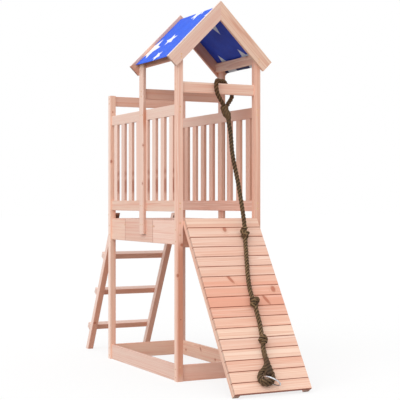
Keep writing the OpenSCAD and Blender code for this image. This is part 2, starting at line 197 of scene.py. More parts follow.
# Rope: three laid strands, down from the front beam and along the ramp to the eye at its end
rope = {
    "diameter": 0.025,
    "crest": 0.0130,             # from the middle of the rope out to the tops of its strands
    "length": 1.730,
    "loopLength": 0.408,
    "strands": 3,
    "strandSwell": 1.05,         # a strand's thickness, times what would just touch the next
    "layLength": 0.060,          # along the rope for one turn of a strand
    "step": 0.004,               # between the points of a laid line
    "sides": 8,                  # of each strand
    "loop": [
        (0.029, -0.457, 1.532), (0.014, -0.466, 1.550), (-0.006, -0.471, 1.576), (-0.019, -0.472, 1.602),
        (-0.024, -0.471, 1.632), (-0.022, -0.469, 1.660), (-0.012, -0.460, 1.671), (0.006, -0.450, 1.669),
        (0.028, -0.441, 1.670), (0.047, -0.429, 1.669), (0.060, -0.422, 1.657), (0.077, -0.421, 1.640),
        (0.093, -0.421, 1.621), (0.102, -0.421, 1.600), (0.098, -0.422, 1.580), (0.086, -0.428, 1.564),
        (0.072, -0.435, 1.549), (0.057, -0.443, 1.532),
    ],
    "route": [
        (0.056, -0.463, 1.448), (0.063, -0.470, 1.400), (0.065, -0.480, 1.345), (0.064, -0.491, 1.285),
        (0.068, -0.502, 1.225), (0.076, -0.513, 1.165), (0.084, -0.524, 1.105), (0.090, -0.535, 1.045),
        (0.095, -0.546, 0.985), (0.100, -0.557, 0.920), (0.102, -0.567, 0.868), (0.100, -0.577, 0.820),
        (0.095, -0.592, 0.776), (0.087, -0.612, 0.742), (0.073, -0.645, 0.694), (0.058, -0.680, 0.642),
        (0.044, -0.715, 0.590), (0.034, -0.749, 0.538), (0.028, -0.779, 0.500), (0.026, -0.816, 0.458),
        (0.028, -0.839, 0.413), (0.027, -0.862, 0.377), (0.023, -0.888, 0.338), (0.016, -0.911, 0.308),
        (0.008, -0.941, 0.273), (0.001, -0.960, 0.231), (-0.002, -0.980, 0.196), (0.003, -1.001, 0.161),
        (0.008, -1.022, 0.128), (0.010, -1.040, 0.104), (0.003, -1.057, 0.085), (-0.013, -1.071, 0.071),
        (-0.037, -1.077, 0.065), (-0.058, -1.070, 0.067), (-0.071, -1.056, 0.081), (-0.068, -1.042, 0.101),
        (-0.054, -1.032, 0.118), (-0.035, -1.027, 0.133), (-0.018, -1.021, 0.152),
    ],
    "pivot": (0.043, -0.450, 1.517),   # about which the splice turns
    "tones": [  # from the gaps between the strands, darkened there as painted shade, to their crests
        (0.12, tone(32, 24, 15)), (0.40, tone(70, 52, 32)),
        (0.68, tone(106, 80, 51)), (0.98, tone(156, 129, 92)),
    ],
    "russet": tone(82, 48, 30),
    "russetShare": 0.60,
    "loopTone": tone(140, 86, 38),
    "loopFrom": (1.50, 1.56),    # heights between which the loop's tone comes in
    "loopShare": 0.18,
    "eyeTone": tone(92, 72, 54),
    "eyeBelow": (0.18, 0.30),
    "eyeShare": 0.40,
    "darker": 0.17,              # in shade, where it hangs clear of the ramp
    "darkFrom": (0.75, 1.45),
    "yarns": 6.0,                # round each strand
    "yarnTwist": 95.0,           # turns of the yarns in a metre of strand
    "fuzzScale": 700.0,
    "blotchScale": 75.0,
    "patchScale": 31.0,
    "bump": (0.9, 0.0014),       # strength and height
}


def paintRope(name):
    mat, wire, shader = newMaterial(name, Roughness=0.9)
    place = wire.add("TexCoord", out="Object")
    height = place.dot(axisZ)
    around, lengthwise = wire.add("TexCoord", out="UV").split(2)
    crest = wire.add("Attribute", {"attribute_name": "crest"}, out="Fac")
    wave = ((around * rope["yarns"] + lengthwise * rope["yarnTwist"]) * math.tau).each("SINE") * 0.5 + 0.5
    fuzz = place.scaled(rope["fuzzScale"]).noise(3.0, 0.65)
    blotch = place.scaled(rope["blotchScale"]).noise(3.0, 0.6)
    patch = place.scaled(rope["patchScale"]).noise(1.0)
    # painted shade: the tones darken where the strands' surface lies deep, in the gaps between them
    shade = crest.step(0.6, 1.0) * 0.6 + wave * 0.14 + fuzz.step(0.25, 0.75) * 0.16
    shade = shade + (blotch - 0.5) * 0.6 + 0.05 - height.step(*rope["darkFrom"]) * rope["darker"]
    hemp = wire.add("ValToRGB", {"stops": rope["tones"]}, {"Fac": shade})
    hemp = (patch.step(0.5, 0.75) * rope["russetShare"]).mix(hemp, rope["russet"])
    hemp = (height.step(*rope["loopFrom"]) * rope["loopShare"]).mix(hemp, rope["loopTone"])
    hemp = ((1.0 - height.step(*rope["eyeBelow"])) * rope["eyeShare"]).mix(hemp, rope["eyeTone"])
    feed(wire, shader, Base_Color=hemp, Normal=bump(wire, wave * 0.55 + fuzz * 0.45, *rope["bump"]))
    return mat


def smoothRoute(points, step):  # a smooth line through the points
    points = [Vector(p) for p in points]
    line = []
    for i, (a, b) in enumerate(zip(points, points[1:])):
        before = points[max(i - 1, 0)]
        after = points[min(i + 2, len(points) - 1)]
        pull = (b - a).length / 3
        leave = a + (b - before).normalized() * pull
        arrive = b - (after - a).normalized() * pull
        line += interpolate_bezier(a, leave, arrive, b, max(2, round((b - a).length / step)) + 1)[:-1]
    return line + [points[-1]]


def linkMesh(name, bm, material):
    mesh = bpy.data.meshes.new(name)
    bm.to_mesh(mesh)
    bm.free()
    obj = bpy.data.objects.new(name, mesh)
    mesh.materials.append(material)
    scene.collection.objects.link(obj)
    return obj


# joins the caps on, evens the UVs and marks the strands' crests
def closeStrands(mesh, length, line, widths):
    sides = rope["sides"]
    bm = bmesh.new()
    bm.from_mesh(mesh)
    uv = bm.loops.layers.uv.active
    for face in bm.faces:
        across = [loop[uv].uv.x for loop in face.loops]
        for loop in face.loops:
            wraps = loop[uv].uv.x < 0.5 < max(across) - min(across)
            loop[uv].uv.x = loop[uv].uv.x * (sides - 1) / sides + (1.0 if wraps else 0.0)
            loop[uv].uv.y *= length
        face.smooth = True
    bmesh.ops.remove_doubles(bm, verts=bm.verts, dist=1e-6)
    nearest = kdtree.KDTree(len(line))
    for i, point in enumerate(line):
        nearest.insert(point, i)
    nearest.balance()
    crest = bm.verts.layers.float.new("crest")
    for vert in bm.verts:
        _, i, away = nearest.find(vert.co)
        vert[crest] = away / widths[i]
    return bm


def evenly(share):  # as thick all along
    return 1.0, 1.0


# widen gives how wide and deep the rope is at a share of its length, and across the side its turns start on
def layRope(name, line, radius, widen=evenly, strands=rope["strands"], across=None,
            lay=rope["layLength"]):
    curve = bpy.data.curves.new(name, "CURVE")
    curve.dimensions = "3D"
    packing = math.sin(math.pi / strands)
    strandRadius = radius * packing / (1.0 + packing) * rope["strandSwell"]
    curve.bevel_depth = strandRadius
    curve.bevel_resolution = rope["sides"] // 2 - 2
    curve.use_fill_caps = True
    splines = [curve.splines.new("POLY") for _ in range(strands)]
    for spline in splines:
        spline.points.add(len(line) - 1)
    length = sum((b - a).length for a, b in zip(line, line[1:]))
    normal = across or (line[1] - line[0]).orthogonal()
    travelled = 0.0
    widths = []
    for i, point in enumerate(line):
        ahead = (line[min(i + 1, len(line) - 1)] - line[max(i - 1, 0)]).normalized()
        normal = (normal - ahead * normal.dot(ahead)).normalized()
        side = ahead.cross(normal)
        travelled += (point - line[max(i - 1, 0)]).length
        wide, deep = widen(travelled / length)
        widths.append(radius * max(wide, deep))
        for k, spline in enumerate(splines):
            angle = math.tau * (travelled / lay + k / strands)
            out = normal * math.cos(angle) * wide + side * math.sin(angle) * deep
            spline.points[i].co = (*(point + out * (radius - strandRadius)), 1.0)
            spline.points[i].radius = (wide + deep) / 2
    laid = bpy.data.objects.new(name, curve)
    scene.collection.objects.link(laid)
    mesh = bpy.data.meshes.new_from_object(laid.evaluated_get(bpy.context.evaluated_depsgraph_get()))
    bpy.data.objects.remove(laid)
    bpy.data.curves.remove(curve)
    obj = linkMesh(name, closeStrands(mesh, length, line, widths), ropeFinish)
    bpy.data.meshes.remove(mesh)
    return obj


ropeFinish = paintRope("hemp_rope")
loopLine = smoothRoute(rope["loop"], rope["step"])
ropeLine = smoothRoute(rope["route"], rope["step"])
loopPiece = layRope("laid_loop", loopLine, rope["crest"])
ropePiece = layRope("laid_rope", ropeLine, rope["crest"])
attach(loopPiece, "tower")
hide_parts("rope_loop")
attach(ropePiece, "rope")
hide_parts("climbing_rope")

# Splice: the loop's two legs tucked into the rope, thick above and tapering down to it
splice = {
    "above": 0.018,
    "below": 0.016,
    "thick": 1.78,               # times the rope's own thickness, where its legs come together
    "thin": 0.98,                # the same at its lower end
    "taper": (0.42, 0.42),       # shares of its length: where it starts to thin, and over how much
    "taperPower": 1.3,
    "swell": (0.62, 3.0),        # share of its thickness at the top, and how fast it grows from there
    "lumps": 0.12,
    "lumpCount": 2.5,
    "sway": 0.005,               # to either side, as the legs are tucked
    "swayAt": (0.2, 0.7),
    "strands": 5,
    "lay": 0.085,
}


def thinning(piece, share):  # 0 before the taper starts, 1 once it has ended
    start, span = piece["taper"]
    return min(1.0, max(0.0, share - start) / span)


def swelling(piece, share):
    first, growth = piece["swell"]
    return min(1.0, first + share * growth)


def makeSplice():
    pivot, start = Vector(rope["pivot"]), Vector(rope["route"][0])
    down = (start - pivot).normalized()
    side = Vector((splice["sway"], 0.0, 0.0))
    leftAt, rightAt = splice["swayAt"]
    turns = [pivot - down * splice["above"], pivot.lerp(start, leftAt) - side,
             pivot.lerp(start, rightAt) + side, start + down * splice["below"]]
    line = smoothRoute(turns, rope["step"])

    def taper(share):
        drop = thinning(splice, share)
        lump = splice["lumps"] * math.sin(math.tau * splice["lumpCount"] * share)
        size = splice["thick"] - (splice["thick"] - splice["thin"]) * drop ** splice["taperPower"]
        size = (size + lump * (1.0 - drop)) * swelling(splice, share)
        return size, size

    piece = layRope("tucked_splice", line, rope["crest"], taper, splice["strands"], lay=splice["lay"])
    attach(piece, "splice")
    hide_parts("rope_splice")


makeSplice()

# Eye: a second turn laid on the first, and the tail tucked back into the rope above it
eye = {
    "turn": [
        (-0.066, -1.069, 0.080), (-0.058, -1.079, 0.083), (-0.046, -1.087, 0.084), (-0.030, -1.088, 0.086),
        (-0.014, -1.084, 0.086), (-0.004, -1.075, 0.087), (0.004, -1.062, 0.088),
    ],
    "turnRadius": 0.0118,
    "tuck": [
        (-0.020, -1.045, 0.105), (-0.016, -1.035, 0.121), (-0.010, -1.021, 0.141), (-0.003, -1.004, 0.163),
        (-0.001, -0.985, 0.190), (0.000, -0.966, 0.220),
    ],
    "inner": [                   # the tail's last strand, round the inside of the eye
        (-0.034, -1.046, 0.109), (-0.041, -1.047, 0.107), (-0.047, -1.049, 0.103), (-0.051, -1.053, 0.097),
        (-0.051, -1.058, 0.089), (-0.047, -1.062, 0.083), (-0.040, -1.065, 0.079), (-0.032, -1.066, 0.078),
    ],
    "innerRadius": 0.0065,
    "tuckWide": 1.85,            # times the rope's own thickness, along the ramp
    "tuckDeep": 1.20,
    "thin": 0.98,
    "taper": (0.1, 0.75),        # shares of its length: where the tuck starts to thin, and over how much
    "swell": (0.75, 2.5),
    "lay": 0.060,
}


def makeEye():
    def taper(share):
        drop, ease = thinning(eye, share), swelling(eye, share)
        return [(eye[size] + (eye["thin"] - eye[size]) * drop) * ease for size in ("tuckWide", "tuckDeep")]

    turn = layRope("eye_turn", smoothRoute(eye["turn"], rope["step"]), eye["turnRadius"])
    tuckLine = smoothRoute(eye["tuck"], rope["step"])
    tuck = layRope("eye_splice", tuckLine, rope["crest"], taper, across=axisX, lay=eye["lay"])
    innerLine = smoothRoute(eye["inner"], rope["step"])
    inner = layRope("eye_inner", innerLine, eye["innerRadius"], lay=eye["lay"])
    return [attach(piece, "rope") for piece in (turn, tuck, inner)]


eyePieces = makeEye()

# Knots: a turn and a half of rope drawn tight round itself, with a bight crossing over it
knot = {
    "places": [(0.100, -0.577, 0.820), (0.026, -0.816, 0.458), (0.008, -0.941, 0.273)],
    "turns": [(-0.07, -0.25, -0.92), (0.0, -0.60, -0.87), (-0.15, -0.49, -0.77)],
    "names": ["upper_knot", "middle_knot", "lower_knot"],
    "sizes": [1.06, 1.0, 1.0],
    "spin": [40.0, 160.0, 250.0],       # degrees about the rope, where each knot's bight crosses
    "wrapRadius": 0.0148,
    "wrapTurns": 1.7,
    "wrapRise": [0.050, 0.042, 0.044],
    "strandRadius": 0.0112,
    "bightRadius": 0.0162,
    "bightSweep": 210.0,
    "endShare": 0.35,                   # of a turn's radius, where it goes into the knot
    "ear": [                            # a small bight that stands out of the middle knot
        (0.026, -0.810, 0.460), (0.031, -0.806, 0.471), (0.040, -0.804, 0.478), (0.050, -0.803, 0.479),
        (0.057, -0.805, 0.474), (0.057, -0.809, 0.465), (0.050, -0.813, 0.456), (0.039, -0.815, 0.449),
    ],
    "earRadius": 0.0078,
    "earLay": 0.036,
}


def helix(turns, rise, radius, start, count=40):
    points = []
    ends = knot["endShare"]
    for i in range(count + 1):
        share = i / count
        angle = start + math.tau * turns * share
        out = radius * (ends + (1.0 - ends) * math.sin(math.pi * share) ** 0.5)
        points.append(Vector((math.cos(angle) * out, math.sin(angle) * out, rise * (share - 0.5))))
    return points


def makeKnot(i):
    turn = Vector(knot["turns"][i]).to_track_quat("Z", "Y").to_matrix().to_4x4()
    place = Matrix.Translation(knot["places"][i]) @ turn @ Matrix.Scale(knot["sizes"][i], 4)
    spin = math.radians(knot["spin"][i])
    rise = knot["wrapRise"][i]
    wrap = helix(knot["wrapTurns"], rise, knot["wrapRadius"], spin)
    sweep = math.radians(knot["bightSweep"])
    bight = helix(-sweep / math.tau, rise, knot["bightRadius"], spin + sweep)
    radius = knot["strandRadius"] * knot["sizes"][i]
    pieces = []
    for name, path in ((knot["names"][i] + "_wrap", wrap), (knot["names"][i] + "_bight", bight)):
        line = smoothRoute([place @ p for p in path], rope["step"])
        pieces.append(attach(layRope(name, line, radius), "rope"))
    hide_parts(knot["names"][i])
    return pieces


knotPieces = [piece for i in range(len(knot["places"])) for piece in makeKnot(i)]
earLine = smoothRoute(knot["ear"], rope["step"])
ear = layRope("middle_knot_ear", earLine, knot["earRadius"], lay=knot["earLay"])
knotPieces.append(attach(ear, "rope"))

print("rope, splice and knots laid")


# Studio: a pale floor that keeps a soft shadow, white behind, one key light from the upper left
studio = {
    "floorSize": 60.0,
    "floorTone": (0.24, 0.24, 0.24, 1.0),
    "floorBounce": (0.42, 0.39, 0.37, 1.0),
    "floorGlow": 0.76,           # seen by the camera; the rest of its brightness is lit and keeps the shadow
    "skyStrength": 0.71,
    "sunTurn": (58.0, 0.0, -50.0),
    "sunStrength": 1.9,
    "sunAngle": 70.0,
}


def seenDirectly(wire):  # 1 for the camera and for what metal reflects
    rays = ("Is Camera Ray", "Is Glossy Ray", "Is Transmission Ray")
    seen, glossy, through = (wire.add("LightPath", out=name) for name in rays)
    return seen.most(glossy.most(through))


def setStudio():
    bm = bmesh.new()
    bmesh.ops.create_grid(bm, x_segments=1, y_segments=1, size=studio["floorSize"])
    mat = bpy.data.materials.new("studio_floor")
    mat.use_nodes = True
    tree = mat.node_tree
    tree.nodes.clear()
    wire = Wire(tree)
    lit = wire.add("BsdfDiffuse", {}, {"Color": studio["floorTone"]})
    glow = wire.add("Emission", {}, {"Color": (1.0, 1.0, 1.0, 1.0), "Strength": studio["floorGlow"]})
    both = wire.add("AddShader", {}, {0: lit, 1: glow})
    bounce = wire.add("BsdfDiffuse", {}, {"Color": studio["floorBounce"]})
    mixed = wire.add("MixShader", {}, {0: seenDirectly(wire), 1: bounce, 2: both})
    wire.add("OutputMaterial", {}, {"Surface": mixed})
    floor = linkMesh("studio_floor", bm, mat)
    world = bpy.data.worlds.new("studio")
    world.use_nodes = True
    world.node_tree.nodes.clear()
    wire = Wire(world.node_tree)
    strength = seenDirectly(wire) * (1.0 - studio["skyStrength"]) + studio["skyStrength"]
    sky = wire.add("Background", {}, {"Color": (1.0, 1.0, 1.0, 1.0), "Strength": strength})
    wire.add("OutputWorld", {}, {"Surface": sky})
    scene.world = world
    sun = bpy.data.lights.new("key", "SUN")
    sun.energy = studio["sunStrength"]
    sun.angle = math.radians(studio["sunAngle"])
    lamp = bpy.data.objects.new("key", sun)
    lamp.rotation_euler = [math.radians(a) for a in studio["sunTurn"]]
    scene.collection.objects.link(lamp)


setStudio()
print("studio set")

# Timber: planed softwood with growth rings, broad streaks, fibre and knots
timber = {
    "pale": tone(245, 214, 200),
    "late": tone(217, 160, 134),
    "warm": tone(228, 161, 136),
    "sandy": tone(241, 210, 184),
    # the next two: heartwood, also the tone of painted shade on shaded boards; a pale tone, mostly used as
    # painted light
    "heart": tone(206, 138, 110),
    "bleached": tone(252, 232, 222),
    # painted shade on the narrow faces of slats and roof boards, which their neighbours shade
    "edge": tone(178, 116, 86),
    "knot": tone(190, 104, 74),
    # knot rims, and the tone of painted shade at the rear left rafter's lower end
    "knotRim": tone(158, 82, 56),
    "seam": tone(158, 76, 50),
    # darkest tone, for the ladder rails' tops
    "darkBand": tone(66, 44, 30),
    # painted highlight on the rafters' upper edge faces, turned up to the light
    "litEdge": tone(252, 240, 234),
    "ringWidth": 0.0046,
    "ringWarp": 0.012,
    "ringBend": 0.006,           # round a knot
    "pithNear": 0.020,           # from a board's middle to the pith, at least and at most
    "pithFar": 0.055,
    "pithSpread": (0.05, 0.03),  # from board to board, across and through
    "pithLean": 0.03,
    "knotCells": (2.4, 9.0),     # in a metre along and across the grain
    "knotShift": 0.37,
    "knotScatter": 0.8,
    "knotAlong": 0.75,           # weight of the distance along the grain: the less, the longer the knot
    "knotFree": 0.80,            # share of the cells that have no knot
    "knotGrowth": 0.040,
    "knotLeast": 0.0002,         # too small to show, for the cells that have none
    "grainShift": 37.0,          # metres of grain that the boards of a node are cut from
    # noise: waves in a metre along and across the grain, start, detail and roughness
    "warpNoise": (1.3, 9.0, 0.0, 2.0, 0.5),
    "streakNoise": (0.7, 34.0, 0.0, 3.0, 0.55),
    "veinNoise": (2.2, 105.0, 5.0, 2.0, 0.6),
    "fibreNoise": (16.0, 1100.0, 0.0, 2.0, 0.6),
    # how strongly each of these shows in the colour
    "redShare": 0.36,
    "sandyShare": 0.60,
    "streakHeat": 0.55,
    "veinHeat": 0.40,
    "coolStart": 0.10,           # taken off the heat of the two before it
    "lateShare": 0.52,
    "fibreShare": 0.20,
    "haloShare": 0.35,
    "rimShare": 0.45,
    "coreShare": 0.75,
    "seamShare": 0.90,
    "litFaceShare": 0.60,
    "sideShadeShare": 0.50,
    "litEdgeShare": 0.80,
    "darkBandShare": 0.90,
    "endDark": 0.22,             # end grain
    "facing": (0.6, 0.9),        # cosines between which a face comes to count as turned a way
    "topFacing": (0.5, 0.8),
    "edgeFacing": (0.7, 0.9),
    "bump": (0.5, 0.0005),       # strength and height
    "seamWidth": 0.0031,
    # boards within a node
    "rampFoot": -1.03954,        # where the first plank starts, at ground level
    "plankPitch": 0.0621,
    "plankGap": 0.0005,
    "floorBoards": 5,
    "slatSpaces": 7,
    "slatWidth": 0.048,
    "skirtJoints": (0.317, 0.735),      # from the skirt's front end
    # how red each plank of the ramp is, and how light, from the foot up
    "planks": [
        (0.20, 0.95), (0.10, 0.85), (0.50, 0.75), (0.00, 0.85), (0.15, 0.70), (0.00, 0.95), (0.35, 0.85),
        (0.80, 0.75), (0.95, 0.85), (0.70, 0.75), (0.78, 0.80), (0.35, 0.55), (0.30, 0.55), (0.25, 0.60),
        (0.35, 0.55), (0.30, 0.55), (0.35, 0.50),
    ],
    # boards given a redder or paler tone than the rest, and by how much: partly their own colour, mostly
    # painted light and shade, the heartwood tone darkening boards in shade and the pale tones brightening
    # others
    "tintsAndShading": {
        "lower_rung": ("heart", 0.70), "middle_rung": ("heart", 0.65), "upper_rung": ("heart", 0.60),
        "left_ladder_rail": ("heart", 0.60), "right_ladder_rail": ("heart", 0.50),
        "middle_beam": ("heart", 0.45), "rear_beam": ("heart", 0.35),
        "front_base_board": ("heart", 0.35), "rear_base_board": ("heart", 0.15),
        "front_right_post": ("heart", 0.25), "rear_left_post": ("heart", 0.22),
        "rear_right_post": ("heart", 0.20), "rear_right_rafter": ("heart", 0.55),
        "front_apron": ("heart", 0.75), "left_purlin": ("heart", 0.70),
        "right_bottom_rail": ("bleached", 0.30), "right_slats": ("bleached", 0.15),
        "right_top_rail": ("bleached", 0.45), "left_top_rail": ("bleached", 0.55),
        "left_roof_board": ("bleached", 0.45), "left_slats": ("bleached", 0.50),
        "left_base_board": ("bleached", 0.40), "front_left_rafter": ("bleached", 0.30),
        "left_skirt": ("bleached", 0.10), "right_purlin": ("sandy", 0.60),
        "ramp_planks": ("sandy", 0.35), "front_right_rafter": ("sandy", 0.45),
    },
    "frontShade": {"right_top_rail": 0.55, "right_slats": 0.35},    # painted shade towards the front, where the right wall lies in shade
    "frontRange": (-0.42, -0.05),
    "litFaces": ("_rung", "_ladder_rail", "rear_left_post"),    # painted light: paler where they face left, toward the key light, and on top
    # knots that stand out: board, place along, across and through it from the middle, size, slant, and
    # weight of the distance across: the less, the wider the knot; None where it goes right through
    "knots": {
        "ramp_planks": [
            (15, -0.003, 0.019, None, 0.010, 0.0, 0.4), (10, -0.060, 0.012, None, 0.009, -0.6, 0.14),
            (9, 0.183, 0.004, None, 0.012, 0.0, 0.5), (8, 0.120, 0.004, None, 0.0095, -0.5, 0.12),
        ],
        "front_left_post": [
            (0, -0.159, 0.0115, -0.0185, 0.008, 0.0, 0.8), (0, -0.327, -0.0150, -0.0185, 0.0085, 0.0, 1.4),
        ],
        "rear_left_post": [
            (0, 0.415, -0.0150, -0.0185, 0.0085, 0.0, 0.9), (0, 0.727, -0.0020, -0.0185, 0.0040, 0.0, 0.9),
        ],
        "left_roof_board": [(0, 0.013, -0.0245, 0.009, 0.006, 0.0, 0.8)],
        "left_ladder_rail": [(0, -0.302, -0.0054, -0.0185, 0.008, 0.0, 0.8)],
        "right_base_board": [(0, 0.202, 0.021, -0.009, 0.008, 0.6, 0.5)],
    },
    "clear": ("rear_base_board", "left_slats"),     # no other knots on these
    # streaks of heartwood, and painted shade on the front left post's lower front, shaded by the ramp, and on
    # the rear left rafter's lower end, under the sheet: from and to along the grain, middle across it, half
    # width, strength and tone
    "streaksAndShade": {
        "front_left_post": [(-0.90, -0.16, 0.006, 0.027, 0.85, "heart")],
        "rear_left_rafter": [(-0.30, -0.19, 0.0, 0.08, 0.85, "knotRim")],
        "left_roof_board": [(0.12, 0.23, -0.0305, 0.006, 0.90, "heart")],
        "front_right_rafter": [
            (-0.06, 0.04, 0.004, 0.012, 0.55, "heart"), (0.02, 0.14, -0.008, 0.012, 0.55, "heart"),
        ],
    },
    "streakFade": 0.05,
    # darker bands: heights and strength on the slats' narrow faces; darkening near the ladder rails' tops:
    # rise and fade
    "slatBands": [(1.050, 1.120, 0.55), (1.157, 1.172, 0.45)],
    "slatFade": (0.02, 0.01),           # outside and inside those heights
    "railDarkening": ((0.878, 0.894), (0.895, 0.922)),
    "railFade": 0.5,
    "firstSeed": 12,
}


def knotMasks(away, size):  # a knot's core, its dark rim and the grain bent round it
    reach = away / size
    core = 1.0 - reach.step(0.75, 1.0)
    rim = reach.step(0.7, 0.95) * (1.0 - reach.step(1.0, 1.45))
    halo = 1.0 - reach.step(0.9, 3.2)
    return core, rim, halo


def grain(wire, g, a, b, name):
    lengthwise, crosswise, start, detail, rough = timber[name]
    return wire.vector(g * lengthwise + start, a * crosswise, b * crosswise).noise(detail, rough)


def turned(normal, way, cosines=timber["facing"], either=False):  # 1 on faces turned that way, or either way
    lean = normal.dot(way)
    return (lean.each("ABSOLUTE") if either else lean).step(*cosines)


def findBoards(place, g, a, across, cells):  # a board's number, the place across it, and the seams
    index = seams = g * 0.0
    width = timber["seamWidth"]
    if "pitch" in cells:
        reach = (place.dot(cells["axis"]) - cells["start"]) / cells["pitch"]
        index = reach.each("FLOOR")
        if cells["axis"] == across:
            a = (reach - index - 0.5) * cells["pitch"]
        if cells["seams"]:
            edge = cells["pitch"] / 2
            seams = a.each("ABSOLUTE").step(edge - width, edge - width * 0.5)
    for cut in cells.get("cuts", ()):
        past = place.dot(cells["axis"]) - cut
        index = index + (past > 0.0)
        seams = seams + 1.0 - past.each("ABSOLUTE").step(width * 0.4, width * 0.9)
    return index, a, seams


def drawLots(wire, node, index, seed):  # three numbers by chance for each board, how red and how light it is
    boardStep, nodeStep = 3.7, 1.37
    chance = {"W": index * boardStep + seed * nodeStep}
    lot = wire.add("TexWhiteNoise", {"noise_dimensions": "1D"}, chance, out="Color").split()
    if node != "ramp_planks":
        return lot, lot[1] * timber["redShare"], lot[0]
    count = len(timber["planks"])
    stops = [(i / count, (red, pale, 0.0, 1.0)) for i, (red, pale) in enumerate(timber["planks"])]
    settings = {"stops": stops, "interpolation": "CONSTANT"}
    red, light = wire.add("ValToRGB", settings, {"Fac": (index + 0.5) / count}).split(2)
    return lot, red, light


def growKnots(wire, node, index, g, onBoard, a, b):  # scattered knots, then those that stand out
    cellG, cellA = timber["knotCells"]
    shift = timber["knotShift"]
    grid = wire.vector(g * cellG, a * cellA + shift)
    nearest = {"voronoi_dimensions": "2D", "feature": "F1"}
    sockets = {"Vector": grid, "Scale": 1.0, "Randomness": timber["knotScatter"]}
    spotG, spotA = wire.add("TexVoronoi", nearest, sockets, out="Position").split(2)
    luck = wire.add("TexVoronoi", nearest, sockets, out="Color").split(1)[0]
    dx = (g - spotG / cellG) * timber["knotAlong"]
    dy = a - (spotA - shift) / cellA
    away = (dx * dx + dy * dy).each("SQRT")
    if node in timber["clear"]:
        away = away + 1.0                               # metres, so none of them shows
    masks = knotMasks(away, ((luck - timber["knotFree"]) * timber["knotGrowth"]).most(timber["knotLeast"]))
    for board, knotG, knotA, knotB, size, slant, weight in timber["knots"].get(node, ()):
        dy = a - knotA
        dx = onBoard - knotG - dy * slant
        squared = dx * dx + dy * dy * weight
        if knotB is not None:
            squared = squared + (b - knotB) * (b - knotB)
        elsewhere = (index - board).each("ABSOLUTE")    # metres, so the other boards stay clear
        more = knotMasks(squared.each("SQRT") + elsewhere, size)
        masks = [first.most(second) for first, second in zip(masks, more)]
    return masks


def growRings(wire, dice, lot, g, a, b, halo):  # late wood, in rings round a pith that lies off the board
    angle = dice.uniform(0.0, math.tau)
    pith = dice.uniform(timber["pithNear"], timber["pithFar"])
    spreadA, spreadB = timber["pithSpread"]
    warp = grain(wire, g, a, b, "warpNoise")
    lean = wire.vector(g * 0.8, 3.1, 0.7).noise(1.0)
    pa = a - (lot[0] - 0.5) * spreadA - math.cos(angle) * pith + (lean - 0.5) * timber["pithLean"]
    pb = b - (lot[1] - 0.5) * spreadB - math.sin(angle) * pith
    radial = (pa * pa + pb * pb).each("SQRT") + (warp - 0.5) * timber["ringWarp"] + halo * timber["ringBend"]
    rings = radial / timber["ringWidth"]
    rings = rings + wire.vector(rings * 0.35, 0.0).noise(1.0) * 1.6      # some years are wider than others
    year = rings % 1.0
    return year.step(0.25, 0.9) * (1.0 - year.step(0.93, 1.0))


# tints each board: its own tones, and painted light and shade
def tintAndShadeBoard(node, colour, place, onBoard, a, streak, redness):
    if node in timber["tintsAndShading"]:
        tint, share = timber["tintsAndShading"][node]
        strength = streak * 0.6 * share + 0.7 * share
        if node == "ramp_planks":
            strength = strength * (1.0 - redness)
        colour = strength.mix(colour, timber[tint])
    # painted shade: the heartwood tone over the front part of the right wall's rail and slats
    if node in timber["frontShade"]:
        front = 1.0 - place.dot(axisY).step(*timber["frontRange"])
        colour = (front * timber["frontShade"][node]).mix(colour, timber["heart"])
    # heartwood streaks, and painted shade on two boards
    fade = timber["streakFade"]
    for start, end, centre, half, strength, streakTone in timber["streaksAndShade"].get(node, ()):
        inside = onBoard.step(start - fade, start + fade) * (1.0 - onBoard.step(end - fade, end + fade))
        inside = inside * (1.0 - (a - centre).each("ABSOLUTE").step(half * 0.4, half)) * (0.6 + streak * 0.8)
        colour = (inside * strength).mix(colour, timber[streakTone])
    return colour


# painted light and shade by the way faces turn, and darker bands on the slats and near the ladder rails' tops
def shadeAndMarkFaces(node, colour, place, normal, across, streak):
    # painted light: faces turned left, toward the key light, and faces turned up get the pale tone
    if node.endswith(timber["litFaces"]):
        litSide = turned(normal, -axisX).most(turned(normal, axisZ, timber["topFacing"]))
        colour = (litSide * timber["litFaceShare"]).mix(colour, timber["bleached"])
    # painted shade: the narrow faces of slats and roof boards, between their neighbours, take the darker tone
    if node.endswith(("slats", "roof_board")):
        colour = (turned(normal, axisY, either=True) * timber["sideShadeShare"]).mix(colour, timber["edge"])
    # darker bands at given heights on the left slats' narrow faces
    if node == "left_slats":
        height = place.dot(axisZ)
        outside, inside = timber["slatFade"]
        for low, high, strength in timber["slatBands"]:
            darkBand = height.step(low - outside, low + inside)
            darkBand = darkBand * (1.0 - height.step(high - inside, high + outside))
            darkBand = darkBand * turned(normal, axisY, either=True) * (0.4 + streak * 1.2)
            colour = (darkBand * strength).mix(colour, timber["knotRim"])
    # painted highlight: the rafters' upper edge faces, turned up to the light, get a near-white tone
    if node.endswith("rafter"):
        cut = turned(normal, across, timber["edgeFacing"])
        colour = (cut * timber["litEdgeShare"]).mix(colour, timber["litEdge"])
    # darker near the ladder rails' tops, except on their left faces
    if node.endswith("ladder_rail"):
        height = place.dot(axisZ)
        rise, fall = timber["railDarkening"]
        darkBand = height.step(*rise) * (1.0 - height.step(*fall) * timber["railFade"])
        darkBand = darkBand * (1.0 - turned(normal, -axisX))                  # not on its left side
        colour = (darkBand * timber["darkBandShare"]).mix(colour, timber["darkBand"])
    return colour


